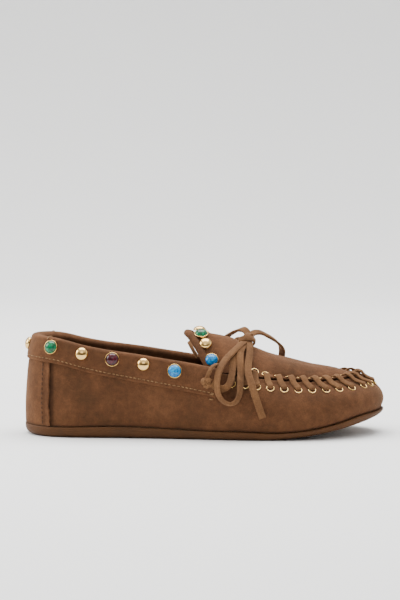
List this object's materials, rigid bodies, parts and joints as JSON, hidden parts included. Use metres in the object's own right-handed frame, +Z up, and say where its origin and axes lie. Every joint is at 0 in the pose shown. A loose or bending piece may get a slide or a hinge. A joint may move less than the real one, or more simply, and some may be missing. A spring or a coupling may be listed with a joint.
{
  "type": "moccasin",
  "caption": "Women's brown suede moccasin, right foot: whip-laced apron, studded collar with gold domes and coloured stones, tied thong bow and thin rubber sole.",
  "frame": {"origin": "ground under the middle of the sole, on its flat underside at mid-length", "axes": "+X towards the toe, +Y towards the medial (inner) side of a right foot, +Z up"},
  "size_m": [0.2499, 0.1033, 0.0746],
  "materials": {
    "suede": "napped",
    "thong_suede": "napped",
    "lining_leather": "smooth",
    "rubber": "matte",
    "board": "fibreboard",
    "foam": "open-cell foam",
    "counter_sheet": "matte",
    "gold": "polished pale gold",
    "green_stone": "polished",
    "purple_stone": "polished",
    "turquoise_stone": "polished"
  },
  "bodies": {
    "shoe": {"apron": "suede", "apron_lining": "lining_leather", "bow_knot": "thong_suede", "collar_band": "suede", "drawstring": "thong_suede", "footbed_foam": "foam", "heel_counter": "counter_sheet", "heel_panel": "suede", "heel_stud_dome": "gold", "insole_board": "board", "lateral_lead": "thong_suede", "lateral_loop": "thong_suede", "lateral_rim_strand": "thong_suede", "lateral_side_knot": "thong_suede", "lateral_stud_1_bezel": "gold", "lateral_stud_1_green": "green_stone", "lateral_stud_2_dome": "gold", "lateral_stud_3_bezel": "gold", "lateral_stud_3_purple": "purple_stone", "lateral_stud_4_dome": "gold", "lateral_stud_5_bezel": "gold", "lateral_stud_5_turquoise": "turquoise_stone", "lateral_tail": "thong_suede", "medial_lead": "thong_suede", "medial_loop": "thong_suede", "medial_rim_strand": "thong_suede", "medial_side_knot": "thong_suede", "medial_stud_1_bezel": "gold", "medial_stud_1_green": "green_stone", "medial_stud_2_dome": "gold", "medial_stud_3_bezel": "gold", "medial_stud_3_purple": "purple_stone", "medial_stud_4_dome": "gold", "medial_stud_5_bezel": "gold", "medial_stud_5_turquoise": "turquoise_stone", "medial_tail": "thong_suede", "outsole": "rubber", "sock_lining": "lining_leather", "toe_lacing": "thong_suede", "wall_lining": "lining_leather", "wall_upper": "suede"},
    "tongue": {"crown_stud_dome": "gold", "tongue": "suede", "tongue_lateral_stud_1_bezel": "gold", "tongue_lateral_stud_1_green": "green_stone", "tongue_lateral_stud_2_dome": "gold", "tongue_lateral_stud_3_bezel": "gold", "tongue_lateral_stud_3_turquoise": "turquoise_stone", "tongue_lining": "lining_leather", "tongue_medial_stud_1_bezel": "gold", "tongue_medial_stud_1_purple": "purple_stone", "tongue_medial_stud_2_dome": "gold", "tongue_medial_stud_3_bezel": "gold", "tongue_medial_stud_3_turquoise": "turquoise_stone"}
  },
  "joints": [
    {"name": "tongue_lift", "type": "hinge", "parent": "shoe", "child": "tongue", "pos_m": [0.01764, 0, 0.0665], "axis": [0, 1, 0], "range_deg": [0, 15]}
  ]
}
